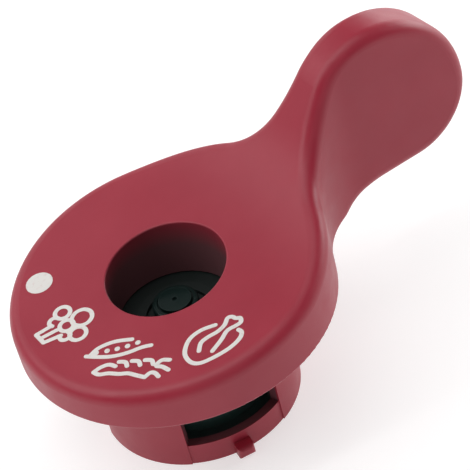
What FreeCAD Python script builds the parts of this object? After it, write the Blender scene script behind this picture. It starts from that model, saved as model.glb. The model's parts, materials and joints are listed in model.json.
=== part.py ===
"""Operating valve of a pressure cooker: a lever knob that sets the cooking pressure.

The knob turns on a core that stays on the lid's steam pipe. A cam ring inside the knob pushes a follower
down onto the regulating spring, and the spring holds the needle on its nozzle until steam lifts it.

Millimetres, +Z up, +X from the axis towards the lever's paddle. The origin is the mouth of the steam pipe
socket, on the turning axis and level with the bottom of the skirt.
"""
import FreeCAD, Part
import math
import os
import re
import Sketcher
from FreeCAD import Placement, Rotation, Vector

AXIS = Vector(0, 0, 1)
ORIGIN = Vector(0, 0, 0)

SPARE = 3.0  # how far the knob's outlines run past what they cut
TOUCH = 0.01  # two measures closer than this are the same
LEAST_CHANGE = 0.5  # cubic millimetres that any feature adds or takes away
WALL_COUNT = 3  # steam windows, bayonet lugs and steam ports around the skirt
SCREW_COUNT = 4
FIRST_SCREW = 45.0  # direction of the first screw
THREAD_GAP = 0.02  # pilot hole's clearance on the screw
CROSS_LENGTH = 2.0  # cross recess in a screw's head
CROSS_WIDTH = 0.5
CROSS_DEPTH = 0.65
LUG_ROUND = 0.7  # rounding of a bayonet lug's outer edges
CAP_ROUND = 0.4  # rounding of the button's edge

# Hidden pockets that keep the disc's walls even.
POCKET_INNER = 14.9
POCKET_OUTER = 21.3
POCKET_SWEEP = 62.0
ROOF_THICK = 2.6

# Cam, follower and click spring.
GUIDE_COUNT = 2  # follower arms, cage slots and cam ramps
GUIDE_GAP = 1.0  # each side of a follower arm in its slot, degrees
RAMP_GAP = 0.25  # between the follower's arms and the cam's ramps
END_GAP = 2.5  # between an arm and the ramp's end stop, degrees
RAMP_DEPTH = 6.0  # height of the section that cuts a ramp
DETENT_TURNS = [0, 33, 76, 121]  # knob's turn to each pictogram, degrees
DETENT_ANGLE = -60.0  # direction of the click spring's bump
STRIP_SWEEP = 200.0  # length of the click spring around the cover, degrees

# Steam ports of the core and the bell, and the openings of the two snap rings, in degrees.
PORT_SWEEP = 30.0
BELL_PORTS = 4
BELL_PORT_SWEEP = 40.0
RING_OPENING = 40.0
CLIP_OPENING = 60.0
CLIP_START = 120.0  # where the stem's clip begins
SPRING_TURNS = 2.75

# Driving dimensions: alias, value in millimetres or degrees, what it is.
SIZES = [
    ("over", 1.0, "how far tools and joined pieces run into what they cut or join"),
    ("fit_gap", 0.05, "gap between pieces that fit without play"),
    ("press_gap", 0.02, "gap between pressed pieces"),
    ("disc_radius", 25.0, "round end of the knob"),
    ("disc_bottom", 18.2, "underside of the knob's disc"),
    ("deck_height", 26.4, "sloping deck, measured on the axis"),
    ("deck_slope", 4.9, "deck's rise towards the paddle, degrees"),
    ("saddle_radius", 27.0, "hollow curve from the deck up to the paddle"),
    ("rise_slope", 51.0, "steepest slope of the paddle's front edge, degrees"),
    ("crown_reach", 40.1, "paddle's highest point, from the axis"),
    ("crown_height", 47.1, "paddle's highest point, above the origin"),
    ("brow_radius", 11.9, "paddle's edge in front of the crown"),
    ("tip_radius", 17.0, "paddle's edge behind the crown"),
    ("heel_radius", 10.7, "paddle's lower corner"),
    ("paddle_bottom", 19.7, "paddle's underside"),
    ("arch_radius", 18.0, "step from the paddle's underside to the disc's"),
    ("arch_reach", 39.6, "where that step starts, from the axis"),
    ("neck_half", 3.5, "half of the neck's thickness"),
    ("neck_radius", 13.8, "hollow curve in plan from the disc to the neck"),
    ("paddle_flare", 2.8, "each paddle face's slant in plan, degrees"),
    ("rim_round", 2.1, "rounding of the knob's upper edges"),
    ("foot_round", 0.5, "rounding of the disc's lower edge"),
    ("well_radius", 9.45, "well through the knob"),
    ("well_round", 0.25, "rounding of the well's edge"),
    ("well_wall", 1.7, "wall of the well below the disc"),
    ("well_bottom", 16.7, "lower end of the well's wall"),
    ("skirt_radius", 15.9, "outside of the skirt"),
    ("skirt_bore", 14.2, "inside of the skirt"),
    ("flange_radius", 22.3, "screwed flange of the skirt"),
    ("flange_thick", 1.6, "thickness of that flange"),
    ("window_bottom", 3.9, "sill of the steam windows"),
    ("window_top", 9.2, "head of the steam windows"),
    ("window_sweep", 60.0, "width of a steam window, degrees"),
    ("window_middle", -101.0, "middle of the first steam window, degrees"),
    ("sill_step", 0.2, "step back of the skirt below each window"),
    ("lug_root", 14.7, "inner end of the bayonet lugs, within the skirt's wall"),
    ("lug_reach", 17.6, "outer end of the bayonet lugs"),
    ("lug_width", 2.7, "width of a bayonet lug"),
    ("lug_height", 2.1, "height of a bayonet lug"),
    ("screw_circle", 19.2, "circle of the flange screws"),
    ("screw_radius", 1.1, "thread of the flange screws"),
    ("screw_head", 2.1, "head of the flange screws"),
    ("screw_length", 5.4, "length of the flange screws"),
    ("screw_gap", 0.15, "clearance of the screws' holes in the flange"),
    ("sink_depth", 1.0, "depth of the screws' countersinks"),
    ("ring_inside", 12.9, "inside of the retaining ring"),
    ("ring_outside", 14.8, "outside of the retaining ring, in the skirt's groove"),
    ("ring_bottom", 0.3, "underside of the retaining ring"),
    ("ring_top", 1.0, "top of the retaining ring"),
    ("pipe_bore", 4.1, "socket for the lid's steam pipe"),
    ("sleeve_radius", 6.4, "outside of that socket's sleeve"),
    ("sleeve_top", 9.4, "top of the sleeve"),
    ("seat_radius", 5.0, "recess for the nozzle and the seal"),
    ("seal_bore", 2.5, "hole in the seal"),
    ("seal_bottom", 6.9, "underside of the seal, where the pipe's end stops"),
    ("seal_top", 8.2, "top of the seal, under the nozzle"),
    ("lip_foot", 2.3, "foot of the nozzle's raised lip"),
    ("lip_edge", 1.5, "upper edge of that lip"),
    ("lip_height", 0.6, "height of that lip"),
    ("base_bottom", 1.1, "underside of the core's base"),
    ("base_top", 2.8, "top of the core's base"),
    ("base_radius", 13.9, "rim of the core's base"),
    ("drag_inside", 13.1, "inside of the drag ring, in the base's groove"),
    ("drag_outside", 14.1, "outside of the drag ring"),
    ("drag_bottom", 1.65, "underside of the drag ring"),
    ("drag_top", 2.25, "top of the drag ring"),
    ("cage_radius", 11.6, "outside of the core's cage"),
    ("cage_bore", 10.4, "inside of the core's cage"),
    ("cage_top", 15.0, "top of the cage, under the cover"),
    ("port_bottom", 3.6, "lower end of the steam ports in the cage"),
    ("port_top", 7.6, "upper end of those ports"),
    ("slot_gap", 0.4, "follower's spare way at the bottom of its slots"),
    ("cover_top", 16.4, "top of the core's cover"),
    ("strip_inside", 11.1, "inside of the click spring's strip"),
    ("strip_outside", 11.5, "outside of that strip"),
    ("strip_bottom", 15.35, "underside of that strip"),
    ("strip_top", 16.05, "top of that strip"),
    ("bump_radius", 0.5, "rounding of the click spring's bump"),
    ("bump_reach", 11.7, "middle of that bump, from the axis"),
    ("notch_radius", 0.65, "notches that the bump drops into"),
    ("nozzle_radius", 1.1, "hole in the nozzle"),
    ("stem_radius", 1.6, "needle's stem"),
    ("stem_top", 19.0, "upper end of the stem, inside the button"),
    ("shoulder_radius", 2.4, "stem's shoulder on the bell"),
    ("shoulder_top", 12.6, "top of that shoulder"),
    ("rivet_radius", 1.0, "stem's rivet through the bell and the plug"),
    ("rivet_bottom", 10.9, "lower end of that rivet"),
    ("bush_gap", 0.06, "gap between the stem and its bush"),
    ("bush_radius", 2.6, "hole for the bush in the cover"),
    ("bush_bottom", 14.6, "lower end of the bush"),
    ("clip_inside", 1.3, "inside of the stem's clip"),
    ("clip_outside", 2.6, "outside of that clip"),
    ("clip_bottom", 12.9, "underside of that clip"),
    ("clip_top", 13.3, "top of that clip"),
    ("plug_radius", 1.58, "plug that closes the nozzle"),
    ("plug_point", 0.28, "radius of the plug's point"),
    ("plug_bottom", 9.2, "lower end of the plug"),
    ("plug_shoulder", 10.5, "where the plug's point ends"),
    ("cap_radius", 3.65, "button on top of the needle's stem"),
    ("cap_shoulder", 19.5, "top of the button's outer ring at rest"),
    ("face_radius", 2.6, "raised face in the middle of the button"),
    ("slit_width", 0.3, "groove between the button's ring and face"),
    ("slit_depth", 0.4, "depth of that groove and of the dimple"),
    ("dimple_radius", 0.4, "dimple in the middle of the button"),
    ("cap_bottom", 17.0, "underside of the button at rest"),
    ("cap_top", 19.9, "top of the button's face at rest"),
    ("collar_inside", 5.1, "raised collar on the cover, around the button"),
    ("collar_outside", 6.5, "outside of that collar"),
    ("collar_top", 17.1, "top of that collar"),
    ("bell_radius", 8.0, "outside of the needle's bell"),
    ("bell_wall", 0.8, "wall of the bell"),
    ("bell_bottom", 3.2, "underside of the bell's brim"),
    ("bell_top", 12.2, "top of the bell"),
    ("brim_radius", 9.9, "brim of the bell, under the spring"),
    ("vent_bottom", 5.7, "lower end of the bell's steam ports"),
    ("vent_top", 9.2, "upper end of those ports"),
    ("washer_top", 4.3, "top of the washer between the brim and the spring"),
    ("coil_bottom", 4.33, "lower end of the coil, at the wire's underside"),
    ("coil_top", 11.12, "upper end of the coil, at the wire's top"),
    ("thrust_inside", 8.4, "inside of the thrust washer"),
    ("thrust_outside", 10.0, "outside of the thrust washer"),
    ("thrust_bottom", 11.2, "underside of the thrust washer"),
    ("spring_radius", 9.0, "mean radius of the regulating spring"),
    ("wire_radius", 0.45, "wire of the regulating spring"),
    ("follower_bottom", 11.6, "underside of the follower at rest"),
    ("follower_top", 13.2, "top of the follower at rest"),
    ("follower_inside", 8.55, "inside of the follower's ring"),
    ("follower_outside", 10.15, "outside of the follower's ring"),
    ("arm_reach", 13.5, "outer end of the follower's arms"),
    ("follower_travel", 3.0, "follower's way down over the whole turn"),
    ("turn_sweep", 121.0, "knob's whole turn, degrees"),
    ("guide_angle", 30.0, "direction of the follower's first arm, degrees"),
    ("guide_sweep", 12.0, "width of a follower arm, degrees"),
    ("cam_radius", 14.1, "outside of the cam ring"),
    ("cam_bore", 11.9, "inside of the cam ring"),
    ("cam_bottom", 9.6, "lower end of the cam ring"),
    ("cam_top", 19.7, "upper end of the cam ring"),
]

document = FreeCAD.newDocument("operating_valve")
sheet = document.addObject("Spreadsheet::Sheet", "Sizes")
for row, (alias, value, meaning) in enumerate(SIZES, start=1):
    sheet.set(f"A{row}", alias)
    sheet.set(f"B{row}", str(value))
    sheet.set(f"C{row}", meaning)
    sheet.setAlias(f"B{row}", alias)
document.recompute()
ALIASES = re.compile(r"\b(" + "|".join(alias for alias, _, _ in SIZES) + r")\b")


def size(alias):
    """One driving dimension, read from the sheet."""
    return float(sheet.get(alias))


def on_sheet(formula):
    """The formula with each alias written as the sheet's own."""
    return ALIASES.sub(r"Sizes.\1", formula)


def bind(thing, **formulas):
    """Binds properties to sheet formulas; bottom stands for the height of the object's base."""
    for name, formula in formulas.items():
        path = "Placement.Base.z" if name == "bottom" else name
        thing.setExpression(path, on_sheet(formula))


def deck_level(reach):
    """Height of the knob's sloping deck at a distance from the axis."""
    return size("deck_height") + reach * math.tan(math.radians(size("deck_slope")))


def around(count, first=0.0):
    """Evenly spaced directions about the axis, in degrees."""
    return [first + 360 / count * number for number in range(count)]


# Part primitives and booleans ------------------------------------------------------------------------


def cylinder(name, radius, bottom, top, sweep="360", start=0.0):
    """Upright cylinder, or a sector of one, between two levels on the turning axis."""
    solid = document.addObject("Part::Cylinder", name)
    solid.Placement = Placement(ORIGIN, Rotation(AXIS, start))
    bind(solid, Radius=radius, Height=f"{top} - ({bottom})", Angle=sweep, bottom=bottom)
    return solid


def cone(name, low_radius, high_radius, bottom, top):
    """Upright cone frustum on the turning axis."""
    solid = document.addObject("Part::Cone", name)
    bind(solid, Radius1=low_radius, Radius2=high_radius, Height=f"{top} - ({bottom})", bottom=bottom)
    return solid


def cut(name, base, *tools):
    """The base with every tool taken away, one after another."""
    for number, tool in enumerate(tools):
        step = document.addObject("Part::Cut", f"{name}_cut_{number}")
        step.Base = base
        step.Tool = tool
        base = step
    return base


def fuse(name, *solids):
    """Several solids joined into one."""
    joined = document.addObject("Part::MultiFuse", name)
    joined.Shapes = list(solids)
    return joined


def tube(name, inner, outer, bottom, top, sweep="360", start=0.0):
    """Ring, or a sector of one, between two radii and two levels."""
    outside = cylinder(f"{name}_outside", outer, bottom, top, sweep, start)
    inside = cylinder(f"{name}_inside", inner, f"{bottom} - over", f"{top} + over")
    return cut(name, outside, inside)


def moved_out(solid, reach, angle):
    """The solid, set at a distance from the axis in a direction given in degrees."""
    rotation = Rotation(AXIS, angle)
    height = solid.Placement.Base.z
    solid.Placement = Placement(rotation.multVec(Vector(reach, 0, height)), rotation)
    return solid


def helix_sweep(name, profile, pitch, height, radius, hand, bottom, start=0.0):
    """A profile carried along a helix on the turning axis."""
    path = document.addObject("Part::Helix", f"{name}_path")
    path.LocalCoord = hand
    path.Placement = Placement(ORIGIN, Rotation(AXIS, start))
    bind(path, Pitch=pitch, Height=height, Radius=radius, bottom=bottom)
    swept = document.addObject("Part::Sweep", name)
    swept.Sections = [profile]
    swept.Spine = (path, ["Edge1"])
    swept.Solid = True
    swept.Frenet = True
    return swept


# Sketches of the lever knob --------------------------------------------------------------------------


def line(start, end):
    """Straight piece of an outline."""
    return Part.LineSegment(Vector(*start, 0), Vector(*end, 0))


def arc(centre, radius, start, end):
    """Round piece of an outline, anticlockwise between two directions in degrees."""
    return Part.ArcOfCircle(circle(radius, centre), math.radians(start), math.radians(end))


def circle(radius, centre=(0.0, 0.0)):
    """Full circle about a centre."""
    return Part.Circle(Vector(*centre, 0), AXIS, radius)


def polar(radius, angle, centre=(0.0, 0.0)):
    """Point at a distance and direction from a centre."""
    direction = math.radians(angle)
    return (centre[0] + radius * math.cos(direction), centre[1] + radius * math.sin(direction))


def mirrored_arc(centre, radius, start, end):
    """The same arc on the other side of the sketch's X axis."""
    return arc((centre[0], -centre[1]), radius, -end, -start)


def new_sketch(body, name, role, outlines, level="0"):
    """Sketch on one of the body's own planes, with each outline's pieces joined end to end."""
    sketch = body.newObject("Sketcher::SketchObject", name)
    plane = next(item for item in body.Origin.OriginFeatures if item.Role == role)
    sketch.AttachmentSupport = [(plane, "")]
    sketch.MapMode = "FlatFace"
    sketch.setExpression("AttachmentOffset.Base.z", on_sheet(level))
    for pieces in outlines:
        first = sketch.GeometryCount
        sketch.addGeometry(pieces)
        if len(pieces) > 1:
            join_ends(sketch, first, len(pieces))
    return sketch


def join_ends(sketch, first, count):
    """Coincident constraints between each piece's end and the next piece's nearest end."""
    for number in range(count):
        here = first + number
        after = first + (number + 1) % count
        pairs = [(a, b) for a in (1, 2) for b in (1, 2)]
        gap = {
            pair: sketch.getPoint(here, pair[0]).distanceToPoint(sketch.getPoint(after, pair[1]))
            for pair in pairs
        }
        end, start = min(pairs, key=gap.get)
        sketch.addConstraint(Sketcher.Constraint("Coincident", here, end, after, start))


def name_radius(sketch, geometry, alias):
    """Radius of one round piece, driven by the sheet."""
    number = sketch.addConstraint(Sketcher.Constraint("Radius", geometry, size(alias)))
    sketch.renameConstraint(number, alias)
    sketch.setExpression(f"Constraints.{alias}", on_sheet(alias))


def side_outline():
    """The knob from the side: sloping deck, hollow rise, round paddle, stepped underside."""
    slope = size("deck_slope")
    rise = size("rise_slope")
    crown = (size("crown_reach"), size("crown_height"))
    brow_centre = (crown[0], crown[1] - size("brow_radius"))
    tip_centre = (crown[0], crown[1] - size("tip_radius"))
    heel_height = size("paddle_bottom") + size("heel_radius")
    heel_centre = (crown[0] + size("tip_radius") - size("heel_radius"), heel_height)
    tip_end = math.degrees(math.asin((heel_height - tip_centre[1]) / size("tip_radius")))
    brow_start = polar(size("brow_radius"), rise + 90, brow_centre)

    # The deck's line and the rising line meet at a corner, which the saddle's arc rounds.
    steep = math.tan(math.radians(rise))
    gentle = math.tan(math.radians(slope))
    corner_x = (size("deck_height") - brow_start[1] + steep * brow_start[0]) / (steep - gentle)
    corner = (corner_x, deck_level(corner_x))
    tangent = size("saddle_radius") * math.tan(math.radians((rise - slope) / 2))
    saddle_start = polar(-tangent, slope, corner)
    saddle_end = polar(tangent, rise, corner)
    saddle_centre = polar(size("saddle_radius"), slope + 90, saddle_start)

    arch_centre = (size("arch_reach"), size("paddle_bottom") - size("arch_radius"))
    arch_drop = math.asin((size("disc_bottom") - arch_centre[1]) / size("arch_radius"))
    arch_end = polar(size("arch_radius"), 180 - math.degrees(arch_drop), arch_centre)
    arch_start = (arch_centre[0], size("paddle_bottom"))
    heel_end = (heel_centre[0], size("paddle_bottom"))
    front = -size("disc_radius") - SPARE
    return [
        line((front, size("disc_bottom")), (front, deck_level(front))),
        line((front, deck_level(front)), saddle_start),
        arc(saddle_centre, size("saddle_radius"), slope - 90, rise - 90),
        line(saddle_end, brow_start),
        arc(brow_centre, size("brow_radius"), 90, rise + 90),
        arc(tip_centre, size("tip_radius"), tip_end, 90),
        arc(heel_centre, size("heel_radius"), -90, 0),
        line(heel_end, arch_start),
        arc(arch_centre, size("arch_radius"), 90, 180 - math.degrees(arch_drop)),
        line(arch_end, (front, size("disc_bottom"))),
    ]


def plan_outline():
    """The knob from above: round disc, hollow neck, paddle faces that spread outwards."""
    hollow = (0.0, size("neck_half") + size("neck_radius"))
    reach = math.sqrt((size("disc_radius") + size("neck_radius")) ** 2 - hollow[1] ** 2)
    hollow = (reach, hollow[1])
    touch = math.degrees(math.atan2(hollow[1], hollow[0]))
    flare = size("paddle_flare")
    face_start = polar(size("neck_radius"), flare - 90, hollow)
    end = size("crown_reach") + size("tip_radius") + SPARE
    end_half = face_start[1] + (end - face_start[0]) * math.tan(math.radians(flare))
    neck = (hollow, size("neck_radius"), touch - 180, flare - 90)
    return [
        arc((0.0, 0.0), size("disc_radius"), touch, 360 - touch),
        mirrored_arc(*neck),
        line((face_start[0], -face_start[1]), (end, -end_half)),
        line((end, -end_half), (end, end_half)),
        line((end, end_half), face_start),
        arc(*neck),
    ]


def frame_outline():
    """Rectangle well outside the knob, around which everything is cut away."""
    left = -size("disc_radius") - 2 * SPARE
    right = size("crown_reach") + size("tip_radius") + 2 * SPARE
    half = size("disc_radius") + 2 * SPARE
    corners = [(left, -half), (right, -half), (right, half), (left, half)]
    return [line(corners[n], corners[(n + 1) % 4]) for n in range(4)]


def sector_outline(inner, outer, middle, sweep):
    """Piece of a ring between two radii and two directions."""
    start = middle - sweep / 2
    end = middle + sweep / 2
    return [
        arc((0.0, 0.0), outer, start, end),
        line(polar(outer, end), polar(inner, end)),
        arc((0.0, 0.0), inner, start, end),
        line(polar(inner, start), polar(outer, start)),
    ]


# Features of the lever knob --------------------------------------------------------------------------


def prism(body, kind, name, sketch, length=None, both_ways=False, upwards=False):
    """Pad or pocket of a sketch, by a length or right through, checked to change the solid."""
    before = 0.0 if body.Shape.isNull() else body.Shape.Volume
    made = body.newObject(f"PartDesign::{kind}", name)
    made.Profile = sketch
    made.SideType = "Symmetric" if both_ways else "One side"
    made.Reversed = upwards
    if length is None:
        made.Type = "ThroughAll"
    else:
        bind(made, Length=length)
    document.recompute()
    if abs(body.Shape.Volume - before) < LEAST_CHANGE:
        raise RuntimeError(f"{name} changed nothing")
    return made


def round_edges(body, name, radius, wanted):
    """Fillet on every edge of the body's last feature that the test picks out."""
    tip = body.Tip
    edges = [f"Edge{n}" for n, edge in enumerate(tip.Shape.Edges, start=1) if wanted(edge)]
    rounding = body.newObject("PartDesign::Fillet", name)
    rounding.Base = (tip, edges)
    bind(rounding, Radius=radius)
    document.recompute()
    return rounding


def runs_straight(edge, direction):
    """Whether an edge's two ends lie along one direction from each other."""
    if len(edge.Vertexes) < 2:
        return False
    along = edge.Vertexes[1].Point - edge.Vertexes[0].Point
    return along.cross(direction).Length < TOUCH * along.Length


def is_upper_rim(edge):
    """Edges between the knob's walls and its deck, rise and paddle, not the seams within them."""
    across = runs_straight(edge, Vector(0, 1, 0))
    upright = runs_straight(edge, AXIS)
    return edge.BoundBox.ZMax > size("disc_bottom") + TOUCH and not across and not upright


def is_foot(edge):
    """Edges around the disc's underside."""
    return edge.BoundBox.ZMax < size("disc_bottom") + TOUCH and not runs_straight(edge, Vector(0, 1, 0))


def is_well_mouth(edge):
    """Edges around the upper end of the well."""
    on_well = all(
        abs(math.hypot(point.X, point.Y) - size("well_radius")) < TOUCH for point in edge.Vertexes
    )
    return on_well and edge.BoundBox.ZMin > size("disc_bottom") + 1 and not runs_straight(edge, AXIS)


def lever_knob():
    """Disc and paddle in one moulding, with the well, the flange's seat and four hidden pockets."""
    body = document.addObject("PartDesign::Body", "LeverKnob")
    side = new_sketch(body, "SideView", "XZ_Plane", [side_outline()])
    name_radius(side, 2, "saddle_radius")
    name_radius(side, 5, "tip_radius")
    prism(body, "Pad", "Thickness", side, "2 * disc_radius + 2 * over", both_ways=True)
    plan = new_sketch(body, "PlanView", "XY_Plane", [frame_outline(), plan_outline()])
    name_radius(plan, 4, "disc_radius")
    prism(body, "Pocket", "Outline", plan, both_ways=True)
    round_edges(body, "RimRounding", "rim_round", is_upper_rim)
    round_edges(body, "FootRounding", "foot_round", is_foot)

    well = new_sketch(body, "WellCircle", "XY_Plane", [[circle(size("well_radius"))]])
    name_radius(well, 0, "well_radius")
    prism(body, "Pocket", "Well", well, both_ways=True)
    round_edges(body, "WellRounding", "well_round", is_well_mouth)

    wall_outside = size("well_radius") + size("well_wall")
    seat = [[circle(size("flange_radius"))], [circle(wall_outside)]]
    seat_sketch = new_sketch(body, "FlangeSeatRing", "XY_Plane", seat, "disc_bottom")
    prism(body, "Pocket", "FlangeSeat", seat_sketch, "flange_thick", upwards=True)
    wall = [[circle(wall_outside)], [circle(size("well_radius"))]]
    wall_sketch = new_sketch(body, "WellWallRing", "XY_Plane", wall, "well_bottom")
    prism(body, "Pad", "WellWall", wall_sketch, "disc_bottom - well_bottom")

    half = POCKET_SWEEP / 2
    for number, middle in enumerate(around(SCREW_COUNT)):
        nearest = min(polar(POCKET_OUTER, middle + turn)[0] for turn in (-half, 0, half))
        roof = deck_level(nearest) - ROOF_THICK
        outline = sector_outline(POCKET_INNER, POCKET_OUTER, middle, POCKET_SWEEP)
        floor = "disc_bottom + flange_thick"
        sketch = new_sketch(body, f"HiddenSector{number}", "XY_Plane", [outline], floor)
        depth = f"{roof} - ({floor})"
        prism(body, "Pocket", f"HiddenPocket{number}", sketch, depth, upwards=True)

    places = [polar(size("screw_circle"), angle) for angle in around(SCREW_COUNT, FIRST_SCREW)]
    holes = [[circle(size("screw_radius") + THREAD_GAP, place)] for place in places]
    hole_sketch = new_sketch(body, "PilotHoles", "XY_Plane", holes, "disc_bottom")
    prism(body, "Pocket", "Pilots", hole_sketch, "screw_length + screw_gap", upwards=True)
    return body


# Knob: skirt, cam ring, screws and retaining ring ----------------------------------------------------


def bayonet_lug(number, angle):
    """Small rounded block that stands out of the skirt's foot."""
    block = document.addObject("Part::Box", f"Lug{number}")
    bind(block, Length="lug_reach - lug_root", Width="lug_width", Height="lug_height")
    document.recompute()
    rounded = document.addObject("Part::Fillet", f"LugRounded{number}")
    rounded.Base = block
    outer = [
        index
        for index, edge in enumerate(block.Shape.Edges, start=1)
        if edge.BoundBox.XMin > block.Length.Value - TOUCH
    ]
    rounded.Edges = [(index, LUG_ROUND, LUG_ROUND) for index in outer]
    rotation = Rotation(AXIS, angle)
    corner = Vector(size("lug_root"), -size("lug_width") / 2, 0)
    rounded.Placement = Placement(rotation.multVec(corner), rotation)
    return rounded


def skirt_collar():
    """Skirt with steam windows and lugs, and the flange that closes the disc's underside."""
    wall = tube("Skirt", "skirt_bore", "skirt_radius", "0", "disc_bottom + flange_thick")
    flange = tube("Flange", "skirt_bore", "flange_radius", "disc_bottom", "disc_bottom + flange_thick")
    middles = around(WALL_COUNT, size("window_middle"))
    lugs = [bayonet_lug(number, angle) for number, angle in enumerate(middles)]
    start = -size("window_sweep") / 2
    sills = [
        tube(
            f"Sill{number}", "skirt_radius - sill_step", "skirt_radius + over",
            "-over", "window_bottom + over", "window_sweep", middle + start,
        )
        for number, middle in enumerate(middles)
    ]
    solid = fuse("SkirtSolid", cut("SteppedSkirt", wall, *sills), flange, *lugs)
    tools = [
        tube(
            f"Window{number}", "skirt_bore - over", "skirt_radius + over",
            "window_bottom", "window_top", "window_sweep", middle + start,
        )
        for number, middle in enumerate(middles)
    ]
    groove = ("ring_outside + fit_gap", "ring_bottom - fit_gap", "ring_top + fit_gap")
    tools.append(tube("RingGroove", "skirt_bore - over", *groove))
    for number, angle in enumerate(around(SCREW_COUNT, FIRST_SCREW)):
        way = "screw_radius + screw_gap"
        sink = cone(f"Sink{number}", "screw_head", way, "disc_bottom", "disc_bottom + sink_depth")
        hole = cylinder(f"ScrewWay{number}", way, "disc_bottom", "disc_bottom + flange_thick + over")
        tools.append(moved_out(fuse(f"ScrewSeat{number}", sink, hole), size("screw_circle"), angle))
    return cut("SkirtCollar", solid, *tools)


def cross_recess(name, length, width):
    """One slot of the cross in a screw's head, centred on the screw."""
    slot = document.addObject("Part::Box", name)
    slot.Length = length
    slot.Width = width
    slot.Height = CROSS_DEPTH
    slot.Placement.Base = Vector(-length / 2, -width / 2, size("disc_bottom"))
    return slot


def flange_screws():
    """Four countersunk screws, from the flange up into the disc."""
    screws = []
    for number, angle in enumerate(around(SCREW_COUNT, FIRST_SCREW)):
        low, high = "disc_bottom + fit_gap", "disc_bottom + sink_depth - fit_gap"
        head = cone(f"Head{number}", "screw_head - 2 * fit_gap", "screw_radius", low, high)
        shank_start = "disc_bottom + sink_depth / 2"
        shank = cylinder(f"Shank{number}", "screw_radius", shank_start, "disc_bottom + screw_length")
        recesses = [
            cross_recess(f"RecessOne{number}", CROSS_LENGTH, CROSS_WIDTH),
            cross_recess(f"RecessTwo{number}", CROSS_WIDTH, CROSS_LENGTH),
        ]
        screw = cut(f"Screw{number}", fuse(f"ScrewSolid{number}", head, shank), *recesses)
        screws.append(moved_out(screw, size("screw_circle"), angle))
    compound = document.addObject("Part::Compound", "FlangeScrews")
    compound.Links = screws
    return compound


def cam_ring():
    """Sleeve pressed into the skirt, with two ramps underneath and a notch for each setting."""
    sleeve = tube("CamSleeve", "cam_bore", "cam_radius", "cam_bottom", "cam_top")
    half_arm = size("guide_sweep") / 2
    low_end = size("turn_sweep") + half_arm + END_GAP
    whole = size("turn_sweep") + 2 * (half_arm + END_GAP)
    drop = size("follower_travel") * low_end / size("turn_sweep")
    low_roof = size("follower_top") + RAMP_GAP - drop
    tools = []
    for number, angle in enumerate(around(GUIDE_COUNT, size("guide_angle"))):
        section = document.addObject("Part::Plane", f"RampSection{number}")
        section.Length = size("cam_radius") - size("cam_bore") + size("over")
        section.Width = RAMP_DEPTH
        turn = Rotation(AXIS, angle + low_end)
        corner = turn.multVec(Vector(size("cam_bore") - size("over") / 2, 0, low_roof - RAMP_DEPTH))
        section.Placement = Placement(corner, turn * Rotation(Vector(1, 0, 0), 90))
        tools.append(
            helix_sweep(
                f"Ramp{number}", section,
                "follower_travel * 360 / turn_sweep", f"follower_travel * {whole} / turn_sweep",
                "cam_radius", "Left-handed", f"{low_roof - RAMP_DEPTH}", angle + low_end,
            )
        )
    for number, turn in enumerate(DETENT_TURNS):
        levels = ("strip_bottom - 3 * fit_gap", "strip_top + 3 * fit_gap")
        notch = cylinder(f"Notch{number}", "notch_radius", *levels)
        tools.append(moved_out(notch, size("cam_bore") - size("fit_gap"), DETENT_ANGLE + turn))
    return cut("CamRing", sleeve, *tools)


def retaining_ring():
    """Open snap ring in the skirt's groove, under the core's base."""
    sweep = f"{360 - RING_OPENING}"
    levels = ("ring_bottom", "ring_top")
    return tube("RetainingRing", "ring_inside", "ring_outside", *levels, sweep, RING_OPENING / 2)


# Core: what stays on the lid -------------------------------------------------------------------------


def core_housing():
    """Pipe sleeve, round base and cage in one moulding."""
    sleeve = tube("Sleeve", "pipe_bore", "sleeve_radius", "0", "sleeve_top")
    base = tube("Base", "sleeve_radius - over", "base_radius", "base_bottom", "base_top")
    cage = tube("Cage", "cage_bore", "cage_radius", "base_top - over", "cage_top")
    solid = fuse("CoreSolid", sleeve, base, cage)
    tools = [
        cylinder("SeatRecess", "seat_radius", "seal_bottom", "sleeve_top + over"),
        tube(
            "DragGroove", "drag_inside - fit_gap", "base_radius + over",
            "drag_bottom - fit_gap", "drag_top + fit_gap",
        ),
    ]
    slot_sweep = size("guide_sweep") + 2 * GUIDE_GAP
    for number, angle in enumerate(around(GUIDE_COUNT, size("guide_angle"))):
        tools.append(
            tube(
                f"Slot{number}", "cage_bore - over", "cage_radius + over",
                "follower_bottom - follower_travel - slot_gap", "cage_top + over",
                f"{slot_sweep}", angle - slot_sweep / 2,
            )
        )
    for number, angle in enumerate(around(WALL_COUNT, size("window_middle") + 180 / WALL_COUNT)):
        tools.append(
            tube(
                f"Port{number}", "cage_bore - over", "cage_radius + over",
                "port_bottom", "port_top", f"{PORT_SWEEP}", angle - PORT_SWEEP / 2,
            )
        )
    return cut("CoreHousing", solid, *tools)


def core_cover():
    """Lid of the cage: spigot below, collar above, bush hole and a groove for the click spring."""
    disc = cylinder("CoverDisc", "cage_radius", "cage_top", "cover_top")
    low, high = "cage_top - over", "cage_top + over"
    spigot = tube("Spigot", "cage_bore - over", "cage_bore - fit_gap", low, high)
    collar = tube("CoverCollar", "collar_inside", "collar_outside", "cover_top - over", "collar_top")
    hole = cylinder("BushHole", "bush_radius", low, "cover_top + over")
    groove = tube(
        "ClickGroove", "strip_inside - 2 * fit_gap", "cage_radius + over",
        "strip_bottom - fit_gap", "strip_top + fit_gap",
    )
    return cut("CoreCover", fuse("CoverSolid", disc, spigot, collar), hole, groove)


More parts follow.
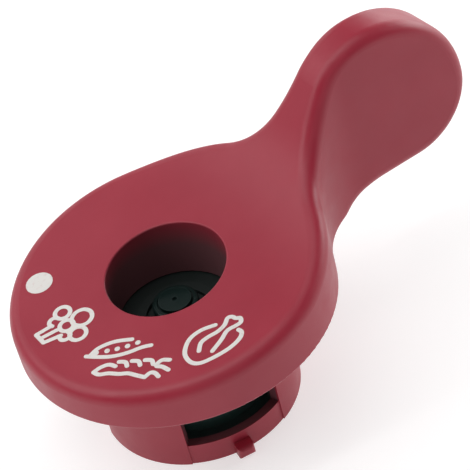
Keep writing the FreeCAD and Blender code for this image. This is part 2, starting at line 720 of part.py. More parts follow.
def click_spring():
    """Strip around the cover's rim, whose bump drops into the cam ring's notches."""
    levels = ("strip_bottom", "strip_top")
    start = DETENT_ANGLE - STRIP_SWEEP / 2
    strip = tube("ClickStrip", "strip_inside", "strip_outside", *levels, f"{STRIP_SWEEP}", start)
    bump = moved_out(cylinder("Bump", "bump_radius", *levels), size("bump_reach"), DETENT_ANGLE)
    return fuse("ClickSpring", strip, bump)


def valve_seat():
    """Metal nozzle pressed into the top of the sleeve."""
    disc = cylinder("SeatDisc", "seat_radius - press_gap", "seal_top", "sleeve_top")
    lip = cone("SeatLip", "lip_foot", "lip_edge", "sleeve_top", "sleeve_top + lip_height")
    orifice = cylinder("Orifice", "nozzle_radius", "seal_top - over", "sleeve_top + over")
    return cut("ValveSeat", fuse("SeatSolid", disc, lip), orifice)


def pipe_seal():
    """Rubber washer under the nozzle, on which the end of the lid's pipe presses."""
    return tube("PipeSeal", "seal_bore", "seat_radius - press_gap", "seal_bottom", "seal_top")


def drag_ring():
    """Slippery ring that steadies the knob on the core's base."""
    return tube("DragRing", "drag_inside", "drag_outside", "drag_bottom", "drag_top")


def stem_bush():
    """Bush in the cover, in which the stem slides."""
    return tube("StemBush", "stem_radius + bush_gap", "bush_radius - press_gap", "bush_bottom", "cover_top")


# Needle: what steam lifts ----------------------------------------------------------------------------


def needle_bell():
    """Thin bell over the sleeve; its brim carries the spring and its ports let steam out."""
    wall = tube("BellWall", "bell_radius - bell_wall", "bell_radius", "bell_bottom", "bell_top")
    roof = cylinder("BellRoof", "bell_radius - bell_wall / 2", "bell_top - bell_wall", "bell_top")
    brim_top = "bell_bottom + bell_wall"
    brim = tube("Brim", "bell_radius - bell_wall / 2", "brim_radius", "bell_bottom", brim_top)
    tools = [cylinder("StemHole", "rivet_radius + press_gap", "bell_top - 2 * over", "bell_top + over")]
    for number, angle in enumerate(around(BELL_PORTS, 180 / BELL_PORTS)):
        tools.append(
            tube(
                f"BellPort{number}", "bell_radius - 2 * over", "brim_radius",
                "vent_bottom", "vent_top", f"{BELL_PORT_SWEEP}", angle - BELL_PORT_SWEEP / 2,
            )
        )
    return cut("NeedleBell", fuse("BellSolid", wall, roof, brim), *tools)


def needle_tip():
    """Pointed plug that closes the nozzle, riveted under the bell's roof."""
    point = cone("Point", "plug_point", "plug_radius", "plug_bottom", "plug_shoulder")
    body = cylinder("TipBody", "plug_radius", "plug_shoulder", "bell_top - bell_wall")
    rivet_hole = cylinder("RivetHole", "rivet_radius + press_gap", "rivet_bottom", "bell_top")
    return cut("NeedleTip", fuse("TipSolid", point, body), rivet_hole)


def needle_stem():
    """Stem with a shoulder on the bell, a rivet below it and a groove for the clip."""
    rod = cylinder("Rod", "stem_radius", "bell_top", "stem_top")
    shoulder = cylinder("Shoulder", "shoulder_radius", "bell_top", "shoulder_top")
    rivet = cylinder("Rivet", "rivet_radius", "rivet_bottom", "bell_top")
    low, high = "clip_bottom - fit_gap", "clip_top + fit_gap"
    groove = tube("ClipGroove", "clip_inside - fit_gap", "stem_radius + over", low, high)
    return cut("NeedleStem", fuse("StemSolid", rod, shoulder, rivet), groove)


def stem_clip():
    """Clip on the stem that meets the bush and limits the lift."""
    sweep = f"{360 - CLIP_OPENING}"
    return tube("StemClip", "clip_inside", "clip_outside", "clip_bottom", "clip_top", sweep, CLIP_START)


def needle_cap():
    """Button seen in the well: a rounded outer ring, a groove, and a raised face with a dimple."""
    body = cylinder("CapBody", "cap_radius", "cap_bottom", "cap_shoulder")
    document.recompute()
    rounded = document.addObject("Part::Fillet", "CapRounded")
    rounded.Base = body
    top_edges = [
        index
        for index, edge in enumerate(body.Shape.Edges, start=1)
        if edge.BoundBox.ZMin > size("cap_shoulder") - TOUCH
    ]
    rounded.Edges = [(index, CAP_ROUND, CAP_ROUND) for index in top_edges]
    face = cylinder("CapFace", "face_radius", "cap_bottom + over", "cap_top")
    slit_bottom = "cap_shoulder - slit_depth"
    groove = tube("CapGroove", "face_radius", "face_radius + slit_width", slit_bottom, "cap_shoulder + over")
    socket = cylinder("CapSocket", "stem_radius + press_gap", "cap_bottom - over", "stem_top")
    dimple = cylinder("Dimple", "dimple_radius", "cap_top - slit_depth", "cap_top + over")
    return cut("NeedleCap", fuse("CapSolid", rounded, face), groove, socket, dimple)


def spring_washer():
    """Thin washer between the bell's brim and the spring."""
    inner, outer = "bell_radius + 2 * fit_gap", "brim_radius - 2 * fit_gap"
    return tube("SpringWasher", inner, outer, "bell_bottom + bell_wall", "washer_top")


def regulating_spring():
    """Coil spring around the bell, from its washer up to the follower's."""
    section = document.addObject("Part::Circle", "WireSection")
    bind(section, Radius="wire_radius")
    low = size("coil_bottom") + size("wire_radius")
    high = size("coil_top") - size("wire_radius")
    section.Placement = Placement(Vector(size("spring_radius"), 0, low), Rotation(Vector(1, 0, 0), 90))
    height = high - low
    return helix_sweep(
        "RegulatingSpring", section, f"{height / SPRING_TURNS}", f"{height}",
        "spring_radius", "Right-handed", f"{low}",
    )


# Follower: what the cam pushes down ------------------------------------------------------------------


def spring_follower():
    """Ring inside the cage with two arms that reach out through its slots."""
    levels = ("follower_bottom", "follower_top")
    ring = tube("FollowerRing", "follower_inside", "follower_outside", *levels)
    arms = [
        tube(
            f"Arm{number}", "follower_outside - over / 2", "arm_reach", *levels,
            "guide_sweep", angle - size("guide_sweep") / 2,
        )
        for number, angle in enumerate(around(GUIDE_COUNT, size("guide_angle")))
    ]
    return fuse("SpringFollower", ring, *arms)


def thrust_washer():
    """Steel washer under the follower, against the top of the spring."""
    return tube("ThrustWasher", "thrust_inside", "thrust_outside", "thrust_bottom", "follower_bottom")


# The whole valve -------------------------------------------------------------------------------------

SUB_PARTS = {
    "lever_knob": lever_knob,
    "skirt_collar": skirt_collar,
    "flange_screws": flange_screws,
    "cam_ring": cam_ring,
    "retaining_ring": retaining_ring,
    "core_housing": core_housing,
    "core_cover": core_cover,
    "click_spring": click_spring,
    "valve_seat": valve_seat,
    "pipe_seal": pipe_seal,
    "drag_ring": drag_ring,
    "stem_bush": stem_bush,
    "needle_bell": needle_bell,
    "needle_tip": needle_tip,
    "needle_stem": needle_stem,
    "stem_clip": stem_clip,
    "needle_cap": needle_cap,
    "spring_washer": spring_washer,
    "regulating_spring": regulating_spring,
    "spring_follower": spring_follower,
    "thrust_washer": thrust_washer,
}


def build():
    """Makes every sub-part, checks the document and each solid, and writes the files."""
    finished = {}
    for label, make in SUB_PARTS.items():
        finished[label] = make()
        finished[label].Label = label
    document.recompute()
    failed = [
        thing.Name for thing in document.Objects if "Invalid" in thing.State or "Error" in thing.State
    ]
    if failed:
        raise RuntimeError(f"failed objects: {failed}")
    for label, thing in finished.items():
        if thing.Shape.isNull() or not thing.Shape.isValid():
            raise RuntimeError(f"{label} has no valid shape")
    os.makedirs("parts", exist_ok=True)
    for label, thing in finished.items():
        thing.Shape.exportStep(f"parts/{label}.step")
        box = thing.Shape.BoundBox
        levels = f"z {box.ZMin:.2f} to {box.ZMax:.2f}"
        print(f"{label}: {len(thing.Shape.Solids)} solid(s), {thing.Shape.Volume:.1f} mm3, {levels}")


build()
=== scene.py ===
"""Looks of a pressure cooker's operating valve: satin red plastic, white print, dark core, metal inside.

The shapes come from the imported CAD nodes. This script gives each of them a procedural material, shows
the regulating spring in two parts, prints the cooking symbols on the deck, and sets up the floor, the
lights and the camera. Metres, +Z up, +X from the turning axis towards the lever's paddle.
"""

import json
import math

import bmesh
import bpy
from mathutils import Matrix, Vector
from mathutils.bvhtree import BVHTree


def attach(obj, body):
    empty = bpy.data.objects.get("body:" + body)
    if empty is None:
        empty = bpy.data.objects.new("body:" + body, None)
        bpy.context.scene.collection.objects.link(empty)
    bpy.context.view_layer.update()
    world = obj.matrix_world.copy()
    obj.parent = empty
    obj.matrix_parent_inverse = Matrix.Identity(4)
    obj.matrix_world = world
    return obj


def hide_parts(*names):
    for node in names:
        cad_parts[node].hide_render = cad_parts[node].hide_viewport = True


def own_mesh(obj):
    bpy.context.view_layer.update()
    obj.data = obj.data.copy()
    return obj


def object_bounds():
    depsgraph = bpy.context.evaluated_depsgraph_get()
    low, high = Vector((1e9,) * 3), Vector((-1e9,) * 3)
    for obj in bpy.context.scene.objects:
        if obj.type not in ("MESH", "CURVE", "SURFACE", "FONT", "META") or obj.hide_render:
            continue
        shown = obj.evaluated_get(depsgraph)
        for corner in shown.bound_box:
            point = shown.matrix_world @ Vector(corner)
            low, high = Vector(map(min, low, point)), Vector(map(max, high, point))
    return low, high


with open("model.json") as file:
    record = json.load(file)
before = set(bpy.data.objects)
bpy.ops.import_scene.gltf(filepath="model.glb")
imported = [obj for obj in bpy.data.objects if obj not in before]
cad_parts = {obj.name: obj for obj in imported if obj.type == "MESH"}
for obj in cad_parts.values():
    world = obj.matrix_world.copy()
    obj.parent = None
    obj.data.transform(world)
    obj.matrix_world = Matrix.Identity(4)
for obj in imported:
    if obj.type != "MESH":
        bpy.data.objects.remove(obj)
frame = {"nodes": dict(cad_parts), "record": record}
cad_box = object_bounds()

MM = 0.001

# Camera. Angles are in degrees, lens and sensor in millimetres.
VIEW_AZIMUTH = 26.54  # how far round the camera stands from -Y towards -X
VIEW_HEIGHT = 41.03  # its height above the horizon
VIEW_ROLL = 15.17  # how far the valve's axis leans to the left in the picture
VIEW_DISTANCE = 325.0 * MM
VIEW_LENS = 164.8
VIEW_SENSOR = 36.0
VIEW_AIM = Vector((11.69, -2.09, 26.20)) * MM  # what the middle of the picture shows
VIEW_NEAREST = 10 * MM  # what is closer to the camera isn't drawn

# Painted shade inside the knob's well and inside the skirt, where shade falls: a darker colour mixed in
# within a radius, growing from nothing at an upper level to its full strength at a dark level.
PAINTED_SHADE_STRENGTH = 0.95
PAINTED_SHADE_EDGE = 0.15 * MM  # over which it fades out at its radius
WELL_PAINTED_SHADE = {"radius": 9.47 * MM, "unshaded": 28.2 * MM, "dark": 22.5 * MM, "colour": (0.130, 0.056, 0.063)}
SKIRT_PAINTED_SHADE = {"radius": 15.50 * MM, "unshaded": 40.0 * MM, "dark": 20.0 * MM, "colour": (0.150, 0.055, 0.065)}

# Print on the deck. Its height grows a little with every stroke of a symbol, so that the tops of two
# strokes that cross never coincide.
PRINT_WIDTH = 0.7 * MM
PRINT_HEIGHT = 0.03 * MM
PRINT_GROWTH = 0.06  # of the height, for every stroke
CURVE_STEPS = 6  # straight pieces that each part of a stroke is drawn with
CAP_STEPS = 5  # sections that round off a stroke's end
CAP_ANGLE = 86.0  # degrees of the quarter circle they follow; all 90 would end in a point
RING_POINTS = 8  # points that a full circle is drawn through
ARC_SPANS = 4  # spans that even a short arc has
DOT_REACH = 0.01  # half the length of the stroke behind a dot, in millimetres
ABOVE_ALL = 1.0  # a level above the whole valve, from which the deck is sought

# Floor
FLOOR_REACH = 3.0  # from its middle to its edges
FLOOR_GAP = 0.02 * MM  # between it and the skirt's foot
FLOOR_GLOW = 0.59  # light of its own, which makes it white behind the valve

LIGHT_AIM = Vector((10, 0, 20)) * MM  # what every softbox faces


# Node helpers ----------------------------------------------------------------------------------------


def add_node(tree, kind, **inputs):
    """New shader node with some of its sockets set; underscores in their names stand for spaces."""
    node = tree.nodes.new(kind)
    for name, value in inputs.items():
        node.inputs[name.replace("_", " ")].default_value = value
    return node


def noise(tree, size, detail=3.0, stretch=(1, 1, 1)):
    """Noise whose features are about size metres across, in object space."""
    place = tree.nodes.new("ShaderNodeTexCoord")
    scaled = add_node(tree, "ShaderNodeMapping", Scale=stretch)
    texture = add_node(tree, "ShaderNodeTexNoise", Scale=1 / size, Detail=detail, Roughness=0.55)
    tree.links.new(place.outputs["Object"], scaled.inputs["Vector"])
    tree.links.new(scaled.outputs["Vector"], texture.inputs["Vector"])
    return texture.outputs["Fac"]


def spread(tree, value, low, high, from_low=0.3, from_high=0.7):
    """A value mapped from one range, by default the middle of noise's range, onto low to high."""
    node = add_node(
        tree, "ShaderNodeMapRange", From_Min=from_low, From_Max=from_high, To_Min=low, To_Max=high
    )
    tree.links.new(value, node.inputs["Value"])
    return node.outputs["Result"]


def product(tree, first, second):
    """One value times another."""
    node = tree.nodes.new("ShaderNodeMath")
    node.operation = "MULTIPLY"
    tree.links.new(first, node.inputs[0])
    tree.links.new(second, node.inputs[1])
    return node.outputs["Value"]


def mix_colour(tree, factor, low, high):
    """Blend of two colours; either may be another node's output."""
    node = tree.nodes.new("ShaderNodeMix")
    node.data_type = "RGBA"
    tree.links.new(factor, node.inputs["Factor"])
    for name, colour in (("A", low), ("B", high)):
        socket = next(s for s in node.inputs if s.name == name and s.type == "RGBA")
        if isinstance(colour, tuple):
            socket.default_value = (*colour, 1)
        else:
            tree.links.new(colour, socket)
    return next(s for s in node.outputs if s.type == "RGBA")


def worn_edges(tree, radius):
    """1 on sharp edges and 0 elsewhere, broken up by noise."""
    bevel = add_node(tree, "ShaderNodeBevel", Radius=radius)
    bevel.samples = 4
    geometry = tree.nodes.new("ShaderNodeNewGeometry")
    match = tree.nodes.new("ShaderNodeVectorMath")
    match.operation = "DOT_PRODUCT"
    tree.links.new(bevel.outputs["Normal"], match.inputs[0])
    tree.links.new(geometry.outputs["Normal"], match.inputs[1])
    edge = spread(tree, match.outputs["Value"], low=1.0, high=0.0, from_low=0.80, from_high=0.99)
    patches = spread(tree, noise(tree, size=1.5 * MM), low=0.2, high=1.0)
    return product(tree, edge, patches)


def painted_shade_mask(tree, painted_shade):
    """Painted shade mask: 0 outside its radius and above its upper level, rising to full strength at its
    dark level.
    """
    place = tree.nodes.new("ShaderNodeTexCoord")
    split = tree.nodes.new("ShaderNodeSeparateXYZ")
    tree.links.new(place.outputs["Object"], split.inputs["Vector"])
    flat = tree.nodes.new("ShaderNodeCombineXYZ")
    tree.links.new(split.outputs["X"], flat.inputs["X"])
    tree.links.new(split.outputs["Y"], flat.inputs["Y"])
    reach = tree.nodes.new("ShaderNodeVectorMath")
    reach.operation = "LENGTH"
    tree.links.new(flat.outputs["Vector"], reach.inputs[0])
    radius = painted_shade["radius"]
    within = spread(
        tree, reach.outputs["Value"], low=1.0, high=0.0, from_low=radius, from_high=radius + PAINTED_SHADE_EDGE
    )
    depth = spread(
        tree,
        split.outputs["Z"],
        low=PAINTED_SHADE_STRENGTH,
        high=0.0,
        from_low=painted_shade["dark"],
        from_high=painted_shade["unshaded"],
    )
    return product(tree, within, depth)


def new_material(name, **sockets):
    """Principled material with some of its sockets set, its node tree and its shader node."""
    material = bpy.data.materials.new(name)
    material.use_nodes = True
    shader = material.node_tree.nodes["Principled BSDF"]
    for socket, value in sockets.items():
        shader.inputs[socket.replace("_", " ")].default_value = value
    return material, material.node_tree, shader


def add_bump(tree, shader, height, depth):
    """Small relief in the surface, depth metres high."""
    bump = add_node(tree, "ShaderNodeBump", Strength=1.0, Distance=depth)
    tree.links.new(height, bump.inputs["Height"])
    tree.links.new(bump.outputs["Normal"], shader.inputs["Normal"])


# Materials -------------------------------------------------------------------------------------------


def moulded_plastic(name, colour, shade, worn, roughness, grain, specular=0.5, painted_shade=None):
    """Moulded plastic: colour clouded with shade, worn on its edges, and a fine grain of some depth."""
    material, tree, shader = new_material(name, Specular_IOR_Level=specular)
    cloud = spread(tree, noise(tree, size=9 * MM, detail=4.0), low=0.0, high=1.0)
    body = mix_colour(tree, cloud, colour, shade)
    surface = mix_colour(tree, worn_edges(tree, radius=0.35 * MM), body, worn)
    # Painted shade: a darker colour mixed in where shade falls deep inside the well and the skirt.
    if painted_shade:
        surface = mix_colour(tree, painted_shade_mask(tree, painted_shade), surface, painted_shade["colour"])
    tree.links.new(surface, shader.inputs["Base Color"])
    patches = noise(tree, size=3 * MM, detail=5.0)
    satin = spread(tree, patches, low=roughness - 0.04, high=roughness + 0.05)
    tree.links.new(satin, shader.inputs["Roughness"])
    add_bump(tree, shader, noise(tree, size=0.16 * MM, detail=2.0), depth=grain)
    return material


def turned_metal(name, colour, shade, roughness):
    """Metal with fine rings around the axis from turning or drawing, and a few duller patches."""
    material, tree, shader = new_material(name, Metallic=1.0)
    dull = spread(tree, noise(tree, size=2.5 * MM, detail=5.0), low=0.0, high=1.0)
    tree.links.new(mix_colour(tree, dull, colour, shade), shader.inputs["Base Color"])
    patches = noise(tree, size=1.2 * MM, detail=4.0)
    satin = spread(tree, patches, low=roughness - 0.07, high=roughness + 0.1)
    tree.links.new(satin, shader.inputs["Roughness"])
    rings = noise(tree, size=0.25 * MM, detail=2.0, stretch=(0.15, 0.15, 3.0))
    add_bump(tree, shader, rings, depth=0.006 * MM)
    return material


def seal_rubber(name):
    """Dark washer rubber with a dusty bloom."""
    material, tree, shader = new_material(name, Specular_IOR_Level=0.35)
    bloom = spread(tree, noise(tree, size=2 * MM, detail=6.0), low=0.0, high=1.0)
    colour = mix_colour(tree, bloom, (0.018, 0.018, 0.018), (0.04, 0.039, 0.037))
    tree.links.new(colour, shader.inputs["Base Color"])
    matt = spread(tree, noise(tree, size=0.8 * MM), low=0.6, high=0.8)
    tree.links.new(matt, shader.inputs["Roughness"])
    add_bump(tree, shader, noise(tree, size=0.12 * MM), depth=0.02 * MM)
    return material


def print_ink(name):
    """Pad-printed white ink: slightly thin in places, so that the red below tints it."""
    material, tree, shader = new_material(name, Specular_IOR_Level=0.4)
    patches = noise(tree, size=0.7 * MM, detail=4.0)
    thin = spread(tree, patches, low=0.0, high=1.0, from_low=0.55, from_high=0.8)
    colour = mix_colour(tree, thin, (0.80, 0.775, 0.74), (0.72, 0.60, 0.57))
    tree.links.new(colour, shader.inputs["Base Color"])
    satin = spread(tree, noise(tree, size=0.5 * MM), low=0.42, high=0.55)
    tree.links.new(satin, shader.inputs["Roughness"])
    add_bump(tree, shader, noise(tree, size=0.1 * MM), depth=0.004 * MM)
    return material


def pale_floor(name):
    """Matt white paper sweep with very faint mottling, lit from behind as on a light table."""
    material, tree, shader = new_material(
        name, Specular_IOR_Level=0.1, Emission_Color=(1, 1, 1, 1), Emission_Strength=FLOOR_GLOW
    )
    mottle = spread(tree, noise(tree, size=60 * MM), low=0.0, high=1.0)
    colour = mix_colour(tree, mottle, (0.56, 0.56, 0.56), (0.53, 0.53, 0.53))
    tree.links.new(colour, shader.inputs["Base Color"])
    matt = spread(tree, noise(tree, size=5 * MM), low=0.85, high=0.95)
    tree.links.new(matt, shader.inputs["Roughness"])
    return material


def red_plastic(name, painted_shade):
    """The knob's and skirt's dark red, darkened inside by painted shade where shade falls."""
    return moulded_plastic(
        name,
        colour=(0.340, 0.018, 0.040),
        shade=(0.365, 0.024, 0.047),
        worn=(0.42, 0.06, 0.085),
        roughness=0.42,
        grain=0.010 * MM,
        specular=0.44,
        painted_shade=painted_shade,
    )


MATERIALS = {
    # The knob's red has painted shade deep inside its well.
    "red_plastic": red_plastic("red_plastic", WELL_PAINTED_SHADE),
    "black_plastic": moulded_plastic(
        "black_plastic",
        colour=(0.006, 0.010, 0.009),
        shade=(0.009, 0.014, 0.013),
        worn=(0.02, 0.026, 0.025),
        roughness=0.50,
        grain=0.012 * MM,
        specular=0.3,
    ),
    "green_plastic": moulded_plastic(
        "green_plastic",
        colour=(0.004, 0.012, 0.011),
        shade=(0.006, 0.016, 0.014),
        worn=(0.02, 0.034, 0.031),
        roughness=0.20,
        grain=0.004 * MM,
        specular=0.34,
    ),
    "white_plastic": moulded_plastic(
        "white_plastic",
        colour=(0.74, 0.73, 0.69),
        shade=(0.70, 0.685, 0.64),
        worn=(0.80, 0.79, 0.76),
        roughness=0.40,
        grain=0.008 * MM,
    ),
    "steel": turned_metal("steel", colour=(0.56, 0.55, 0.53), shade=(0.44, 0.43, 0.41), roughness=0.30),
    "brass": turned_metal("brass", colour=(0.72, 0.50, 0.22), shade=(0.55, 0.37, 0.15), roughness=0.28),
    "rubber": seal_rubber("rubber"),
}

for subpart in frame["record"]["subparts"]:
    node = frame["nodes"][subpart["node"]]
    node.data.materials.clear()
    node.data.materials.append(MATERIALS[subpart["material_slot"]])

# Two nodes differ from the others in their slots: the skirt has painted shade of its own inside it, and
# the core's housing is a lighter, greener black than the cover on top of it.
frame["nodes"]["skirt_collar"].data.materials[0] = red_plastic("skirt_plastic", SKIRT_PAINTED_SHADE)
frame["nodes"]["core_housing"].data.materials[0] = moulded_plastic(
    "housing_plastic",
    colour=(0.035, 0.080, 0.072),
    shade=(0.042, 0.092, 0.083),
    worn=(0.07, 0.12, 0.11),
    roughness=0.45,
    grain=0.012 * MM,
    specular=0.4,
)


# Regulating spring -----------------------------------------------------------------------------------
#
# The follower presses the coil down from above and the needle lifts it from below, so it is shown in two
# parts, cut at a level that divides the coil's height as the two joints' travels divide their sum.

TRAVELS = {
    joint["name"]: max(abs(limit) for limit in joint["range_m"])
    for joint in frame["record"]["behaviour"]["joints"]
    if joint["type"] == "slide"
}


def cut_level(source, level, keep_below, name):
    """New mesh: the part of the source below or above a level, closed where it is cut."""
    shape = bmesh.new()
    shape.from_mesh(source)
    cut = bmesh.ops.bisect_plane(
        shape,
        geom=shape.verts[:] + shape.edges[:] + shape.faces[:],
        plane_co=(0, 0, level),
        plane_no=(0, 0, 1),
        clear_outer=keep_below,
        clear_inner=not keep_below,
    )
    rim = [item for item in cut["geom_cut"] if isinstance(item, bmesh.types.BMEdge)]
    bmesh.ops.holes_fill(shape, edges=rim)
    mesh = bpy.data.meshes.new(name)
    shape.to_mesh(mesh)
    shape.free()
    return mesh


def spring_part(name, joint):
    """The stretch of the coil that one joint would shorten; the cut divides the coil's height as the joints'
    travels divide their sum.
    """
    coil = frame["nodes"]["regulating_spring"].data
    levels = [vertex.co.z for vertex in coil.vertices]
    bottom = min(levels)
    height = max(levels) - bottom
    total = sum(TRAVELS.values())
    meeting = bottom + height * TRAVELS["needle_lift"] / total
    mesh = cut_level(coil, meeting, keep_below=(joint == "needle_lift"), name=name)
    mesh.materials.append(MATERIALS["steel"])
    part = bpy.data.objects.new(name, mesh)
    bpy.context.scene.collection.objects.link(part)
    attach(part, "core")
    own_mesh(part)
    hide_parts("regulating_spring")


spring_part("spring_lower", "needle_lift")
spring_part("spring_upper", "follower_slide")


# Print on the deck -----------------------------------------------------------------------------------
#
# Points and radii of the symbols are in millimetres, x and y from the turning axis.

INK = print_ink("print_ink")

knob_mesh = frame["nodes"]["lever_knob"].data
knob_surface = BVHTree.FromPolygons(
    [vertex.co for vertex in knob_mesh.vertices],
    [tuple(face.vertices) for face in knob_mesh.polygons],
)


def on_deck(point, lift):
    """Place on the knob's upper surface at a point's x and y, raised by lift."""
    above = Vector((point.x, point.y, ABOVE_ALL))
    hit = knob_surface.ray_cast(above, Vector((0, 0, -1)))[0]
    return hit + Vector((0, 0, lift))


def smooth_line(points, closed):
    """Catmull-Rom curve through the points, as straight pieces."""
    count = len(points)
    line = []
    for number in range(count if closed else count - 1):
        around = [number - 1, number, number + 1, number + 2]
        if closed:
            around = [place % count for place in around]
        else:
            around = [min(max(place, 0), count - 1) for place in around]
        before, start, end, beyond = (points[place] for place in around)
        slope = end - before
        bend = 2 * before - 5 * start + 4 * end - beyond
        twist = 3 * start - before - 3 * end + beyond
        for step in range(CURVE_STEPS):
            share = step / CURVE_STEPS
            line.append(0.5 * (2 * start + slope * share + bend * share**2 + twist * share**3))
    if not closed:
        line.append(points[-1])
    return line


def rounded_end(section, sign):
    """Ever narrower sections beyond a stroke's first section (sign -1) or its last one (sign 1)."""
    point, side, half = section
    outwards = Vector((side.y, -side.x)) * sign
    cap = []
    for step in range(1, CAP_STEPS + 1):
        angle = math.radians(CAP_ANGLE * step / CAP_STEPS)
        cap.append((point + outwards * half * math.sin(angle), side, half * math.cos(angle)))
    return cap


def sections_of(line, half, closed):
    """Middle, sideways direction and half width at each step of a stroke, its ends rounded."""
    count = len(line)
    sections = []
    for number, point in enumerate(line):
        before = line[(number - 1) % count] if closed or number > 0 else point
        after = line[(number + 1) % count] if closed or number < count - 1 else point
        along = (after - before).normalized()
        sections.append((point, Vector((-along.y, along.x)), half))
    if closed:
        return sections
    return rounded_end(sections[0], -1)[::-1] + sections + rounded_end(sections[-1], 1)


def circle_points(centre, radius, angles):
    """Points of a circle at some angles in radians."""
    x, y = centre
    return [(x + radius * math.cos(angle), y + radius * math.sin(angle)) for angle in angles]


class Print:
    """Flat symbol on the deck, gathered stroke by stroke into one mesh."""

    def __init__(self):
        self.vertices = []
        self.faces = []
        self.strokes = 0

    def stroke(self, points, width=PRINT_WIDTH, closed=False):
        """Ink line through the points; its width is in metres."""
        line = smooth_line([Vector(point) * MM for point in points], closed)
        sections = sections_of(line, width / 2, closed)
        lift = PRINT_HEIGHT * (1 + PRINT_GROWTH * self.strokes)
        first = len(self.vertices)
        for middle, side, half in sections:
            left, right = middle + side * half, middle - side * half
            self.vertices += [on_deck(left, 0), on_deck(left, lift), on_deck(right, lift), on_deck(right, 0)]
        self.join_sections(first, len(sections), closed)
        self.strokes += 1

    def join_sections(self, first, count, closed):
        """Faces from each section's four corners to the next one's, and over an open stroke's ends."""
        for number in range(count if closed else count - 1):
            here = first + 4 * number
            after = first + 4 * ((number + 1) % count)
            for corner in range(4):
                other = (corner + 1) % 4
                self.faces.append((here + corner, here + other, after + other, after + corner))
        if not closed:
            last = first + 4 * (count - 1)
            self.faces.append((first + 3, first + 2, first + 1, first))
            self.faces.append((last, last + 1, last + 2, last + 3))

    def dot(self, centre, radius):
        """Filled spot: a stroke with almost no length."""
        x, y = centre
        self.stroke([(x - DOT_REACH, y), (x + DOT_REACH, y)], width=2 * radius * MM)

    def ring(self, centre, radius):
        """Full circle drawn with the stroke."""
        angles = [math.radians(360 * number / RING_POINTS) for number in range(RING_POINTS)]
        self.stroke(circle_points(centre, radius, angles), closed=True)

    def arc(self, centre, radius, start, sweep):
        """Part of a circle from a start angle on, counterclockwise; both angles in degrees."""
        steps = max(ARC_SPANS, round(RING_POINTS * sweep / 360))
        angles = [math.radians(start + sweep * number / steps) for number in range(steps + 1)]
        self.stroke(circle_points(centre, radius, angles))

    def finish(self, name):
        """Makes the gathered mesh an object that rides with the knob."""
        mesh = bpy.data.meshes.new(name)
        mesh.from_pydata(self.vertices, [], self.faces)
        mesh.update()
        mesh.materials.append(INK)
        symbol = bpy.data.objects.new(name, mesh)
        bpy.context.scene.collection.objects.link(symbol)
        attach(symbol, "knob")


def turned(points, origin, angle):
    """Points from a symbol's own frame, set at an origin and turned by an angle in degrees."""
    cos, sin = math.cos(math.radians(angle)), math.sin(math.radians(angle))
    return [(origin[0] + u * cos - v * sin, origin[1] + u * sin + v * cos) for u, v in points]


def dot_symbol():
    """Round spot for the rest position."""
    symbol = Print()
    symbol.dot((-14.7, 13.7), radius=2.15)
    symbol.finish("print_dot")


def vegetable_symbol():
    """Vegetable head: a cluster of round florets on three stalks, cut off straight."""
    symbol = Print()
    florets = [((-15.75, 5.45), 1.2), ((-14.3, 2.2), 1.6), ((-16.8, 2.75), 1.1), ((-16.55, 0.0), 1.3)]
    for centre, radius in florets:
        symbol.ring(centre, radius)
    symbol.arc((-17.65, 4.85), radius=0.85, start=20, sweep=190)
    symbol.arc((-18.15, 1.25), radius=0.85, start=150, sweep=235)
    symbol.stroke([(-18.5, 1.8), (-21.0, 2.7)])
    symbol.stroke([(-18.3, 3.2), (-21.0, 3.85)])
    symbol.stroke([(-18.5, 4.6), (-21.0, 5.0)])
    symbol.stroke([(-21.0, 4.95), (-21.1, 2.75)])
    symbol.finish("print_vegetable")


def add_pod(symbol):
    """Open pod with a thick stem end and four peas."""
    origin, angle = (-18.3, -4.8), -38.7
    shell = [(0, 0), (1.8, -0.5), (4.0, -0.85), (6.3, -0.65), (8.5, -0.05), (9.9, 0.05)]
    lid = [(0.7, 0.1), (1.9, 1.25), (4.2, 1.95), (6.9, 1.85)]
    stem_end = [(0.8, 0.0), (1.5, 0.35)]
    peas = [(3.2, 0.38), (4.75, 0.45), (6.3, 0.66), (7.85, 1.01)]
    symbol.stroke(turned(shell, origin, angle))
    symbol.stroke(turned(lid, origin, angle))
    symbol.stroke(turned(stem_end, origin, angle), width=1.3 * PRINT_WIDTH)
    for pea in turned(peas, origin, angle):
        symbol.dot(pea, radius=0.42)


def add_root(symbol):
    """Root's outline: a wavy underside, a blunt tip, three humps and two leaves."""
    origin, angle = (-19.3, -8.3), -45.7
    underside = [(0, 0), (0.9, -0.5), (2.4, -0.4), (4.0, -0.65), (5.4, -0.65), (6.7, -1.1), (8.1, -1.6)]
    leaf = [(8.1, -1.6), (8.8, -0.85), (9.5, -0.9), (10.2, -1.6)]
    tip = [(0, 0), (0.9, 0.8), (2.1, 1.25), (3.2, 0.85)]
    upper_leaf = [(11.4, 1.35), (10.2, 1.4), (9.5, 0.45), (10.5, 0.15), (11.5, -0.5)]
    humps = [[(start, 1.65), (start + 1.0, 1.5), (start + 1.4, 0.75)] for start in (3.6, 5.6, 7.6)]
    for outline in [underside, leaf, tip, upper_leaf] + humps:
        symbol.stroke(turned(outline, origin, angle))


def pod_and_root_symbol():
    """Pod with a knobbly root under it."""
    symbol = Print()
    add_pod(symbol)
    add_root(symbol)
    symbol.finish("print_pod_and_root")


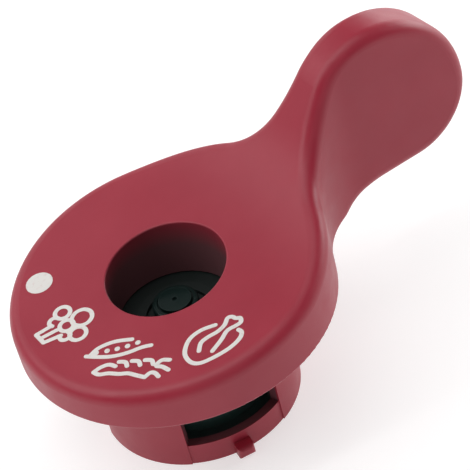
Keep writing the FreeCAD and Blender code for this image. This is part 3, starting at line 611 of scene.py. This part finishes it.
def poultry_symbol():
    """Roast poultry: a plump body, open towards the drumstick, and the drumstick's outline."""
    symbol = Print()
    body = [
        (-1.9, -15.5), (-4.0, -14.6), (-6.2, -14.7), (-8.1, -16.2), (-8.6, -18.1), (-7.9, -19.5),
        (-5.9, -20.3), (-3.2, -20.75), (-1.2, -20.5), (-0.2, -19.8), (-0.2, -19.0),
    ]
    drumstick = [
        (-6.5, -17.6), (-5.4, -16.6), (-4.1, -16.5), (-2.4, -16.8), (-1.0, -16.6), (0.1, -15.9),
        (0.7, -16.2), (0.9, -16.9), (1.35, -17.4), (0.9, -18.1), (0.0, -18.05), (-1.4, -17.8),
        (-3.0, -18.5), (-5.2, -19.2),
    ]
    symbol.stroke(body)
    symbol.stroke(drumstick)
    symbol.finish("print_poultry")


dot_symbol()
vegetable_symbol()
pod_and_root_symbol()
poultry_symbol()


# Floor, light and camera -----------------------------------------------------------------------------


def make_floor():
    """Wide plane just under the skirt's foot."""
    mesh = bpy.data.meshes.new("floor")
    corners = [(x * FLOOR_REACH, y * FLOOR_REACH, 0) for x, y in ((-1, -1), (1, -1), (1, 1), (-1, 1))]
    mesh.from_pydata(corners, [], [(0, 1, 2, 3)])
    mesh.materials.append(pale_floor("pale_floor"))
    floor = bpy.data.objects.new("floor", mesh)
    floor.location.z = cad_box[0].z - FLOOR_GAP
    bpy.context.scene.collection.objects.link(floor)


def softbox(name, place, width, height, watts):
    """Rectangular area light that faces the valve."""
    data = bpy.data.lights.new(name, "AREA")
    data.shape = "RECTANGLE"
    data.size = width
    data.size_y = height
    data.energy = watts
    light = bpy.data.objects.new(name, data)
    light.location = place
    light.rotation_euler = (LIGHT_AIM - Vector(place)).to_track_quat("-Z", "Y").to_euler()
    bpy.context.scene.collection.objects.link(light)


def make_world(strength):
    """Even white surroundings."""
    world = bpy.data.worlds.new("studio")
    world.use_nodes = True
    background = world.node_tree.nodes["Background"]
    background.inputs["Color"].default_value = (1, 1, 1, 1)
    background.inputs["Strength"].default_value = strength
    bpy.context.scene.world = world


def make_camera():
    """Long lens from above the near side, tilted so that the valve leans in the picture."""
    azimuth, height, roll = (math.radians(angle) for angle in (VIEW_AZIMUTH, VIEW_HEIGHT, VIEW_ROLL))
    level = Vector((math.cos(azimuth), -math.sin(azimuth), 0))
    back = Vector((0, 0, math.sin(height))) + level.cross(Vector((0, 0, 1))) * math.cos(height)
    upright = back.cross(level)
    picture_right = level * math.cos(roll) - upright * math.sin(roll)
    picture_up = level * math.sin(roll) + upright * math.cos(roll)
    turn = Matrix((picture_right, picture_up, back)).transposed()
    data = bpy.data.cameras.new("camera")
    data.lens = VIEW_LENS
    data.sensor_width = VIEW_SENSOR
    data.clip_start = VIEW_NEAREST
    camera = bpy.data.objects.new("camera", data)
    camera.matrix_world = Matrix.Translation(VIEW_AIM + back * VIEW_DISTANCE) @ turn.to_4x4()
    bpy.context.scene.collection.objects.link(camera)
    bpy.context.scene.camera = camera


make_floor()
make_world(strength=0.02)
softbox("overhead", place=(0.0, 0.0, 0.75), width=0.7, height=0.7, watts=2.2)
softbox("left", place=(-0.42, 0.28, 0.47), width=0.5, height=0.5, watts=1.6)
softbox("back", place=(-0.03, 0.62, 0.33), width=0.6, height=0.4, watts=1.0)
softbox("front", place=(-0.10, -0.45, 0.55), width=0.5, height=0.5, watts=0.35)
softbox("front_low", place=(-0.25, -0.70, 0.22), width=0.6, height=0.35, watts=0.30)
softbox("right", place=(0.45, 0.0, 0.12), width=0.3, height=0.2, watts=0.95)
softbox("right_back", place=(0.40, 0.25, 0.12), width=0.3, height=0.2, watts=0.55)
softbox("strip", place=(-0.30, 0.05, 0.53), width=0.04, height=0.75, watts=0.7)
make_camera()
bpy.context.scene.view_settings.view_transform = "Standard"
